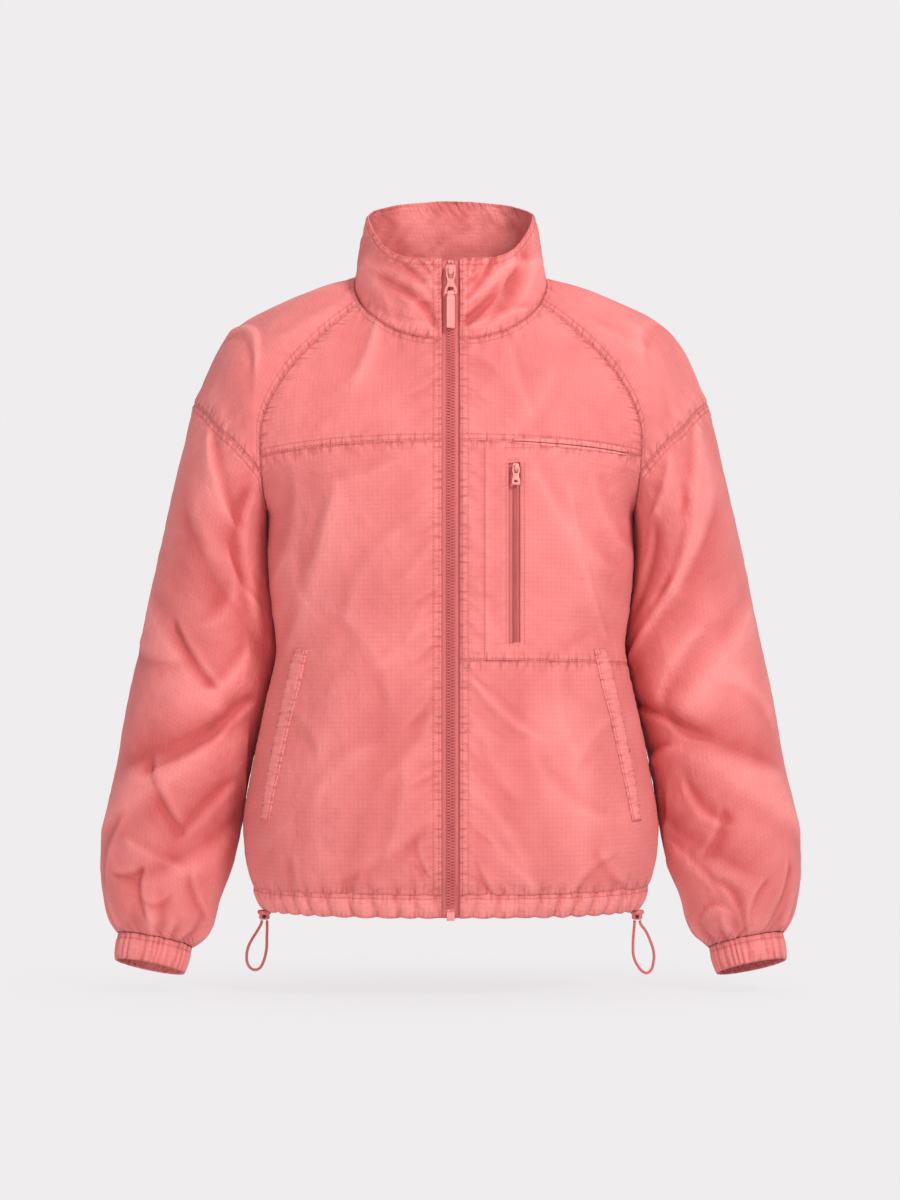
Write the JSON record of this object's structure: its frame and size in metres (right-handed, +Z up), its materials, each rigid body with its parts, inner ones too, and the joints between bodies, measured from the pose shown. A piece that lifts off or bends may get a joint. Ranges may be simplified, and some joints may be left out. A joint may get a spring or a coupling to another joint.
{
  "type": "utility jacket",
  "caption": "Short zip-front jacket with a stand collar, raglan shoulders, gathered cuffs, a cord-drawn hem and a zipped chest pocket",
  "frame": {"origin": "the centre of the neck's base, where the wearer holds the jacket up", "axes": "+Z is up, the front faces -Y, and +X is the right of the front view"},
  "size_m": [0.7008, 0.2672, 0.781],
  "materials": {
    "ripstop": "washed light ripstop, faint sheen",
    "tape": "woven zip tape",
    "coil": "moulded and coiled nylon",
    "slider": "painted to match the cloth",
    "tab": "soft moulded tab",
    "cord": "braided elastic cord",
    "lock": "moulded toggle"
  },
  "bodies": {
    "jacket": {"collar": "ripstop", "yoke_left": "ripstop", "yoke_right": "ripstop", "front_left": "ripstop", "chest_panel_right": "ripstop", "front_right_lower": "ripstop", "back": "ripstop", "shoulder_left": "ripstop", "shoulder_right": "ripstop", "sleeve_left": "ripstop", "sleeve_right": "ripstop", "cuff_left": "ripstop", "cuff_right": "ripstop", "hem_left": "ripstop", "hem_right": "ripstop", "hem_back": "ripstop", "hand_welt_left": "ripstop", "hand_welt_right": "ripstop", "yoke_welt_upper": "ripstop", "yoke_welt_lower": "ripstop", "zip_tape_left": "tape", "zip_tape_right": "tape", "chest_zip_tape": "tape", "zip_chain": "coil", "zip_top_stop": "coil", "zip_box": "coil", "chest_zip_chain": "coil", "zip_slider": "slider", "chest_slider": "slider", "cord_loop_left": "cord", "cord_loop_right": "cord", "cord_lock_left": "lock", "cord_lock_right": "lock"},
    "main_pull": {"zip_pull": "slider"},
    "main_tab": {"zip_tab": "tab"},
    "chest_pull": {"chest_pull": "slider"}
  },
  "joints": [
    {"name": "main_pull_hinge", "type": "hinge", "parent": "jacket", "child": "main_pull", "pos_m": [0, -0.07629, 0.01168], "axis": [-1, 0, 0], "range_deg": [0, 150]},
    {"name": "main_tab_hinge", "type": "hinge", "parent": "main_pull", "child": "main_tab", "pos_m": [0, -0.07711, -0.01], "axis": [-1, 0, 0], "range_deg": [0, 75]},
    {"name": "chest_pull_hinge", "type": "hinge", "parent": "jacket", "child": "chest_pull", "pos_m": [0.06294, -0.12458, -0.18244], "axis": [-0.9908, -0.1308, 0.0361], "range_deg": [0, 150]}
  ]
}
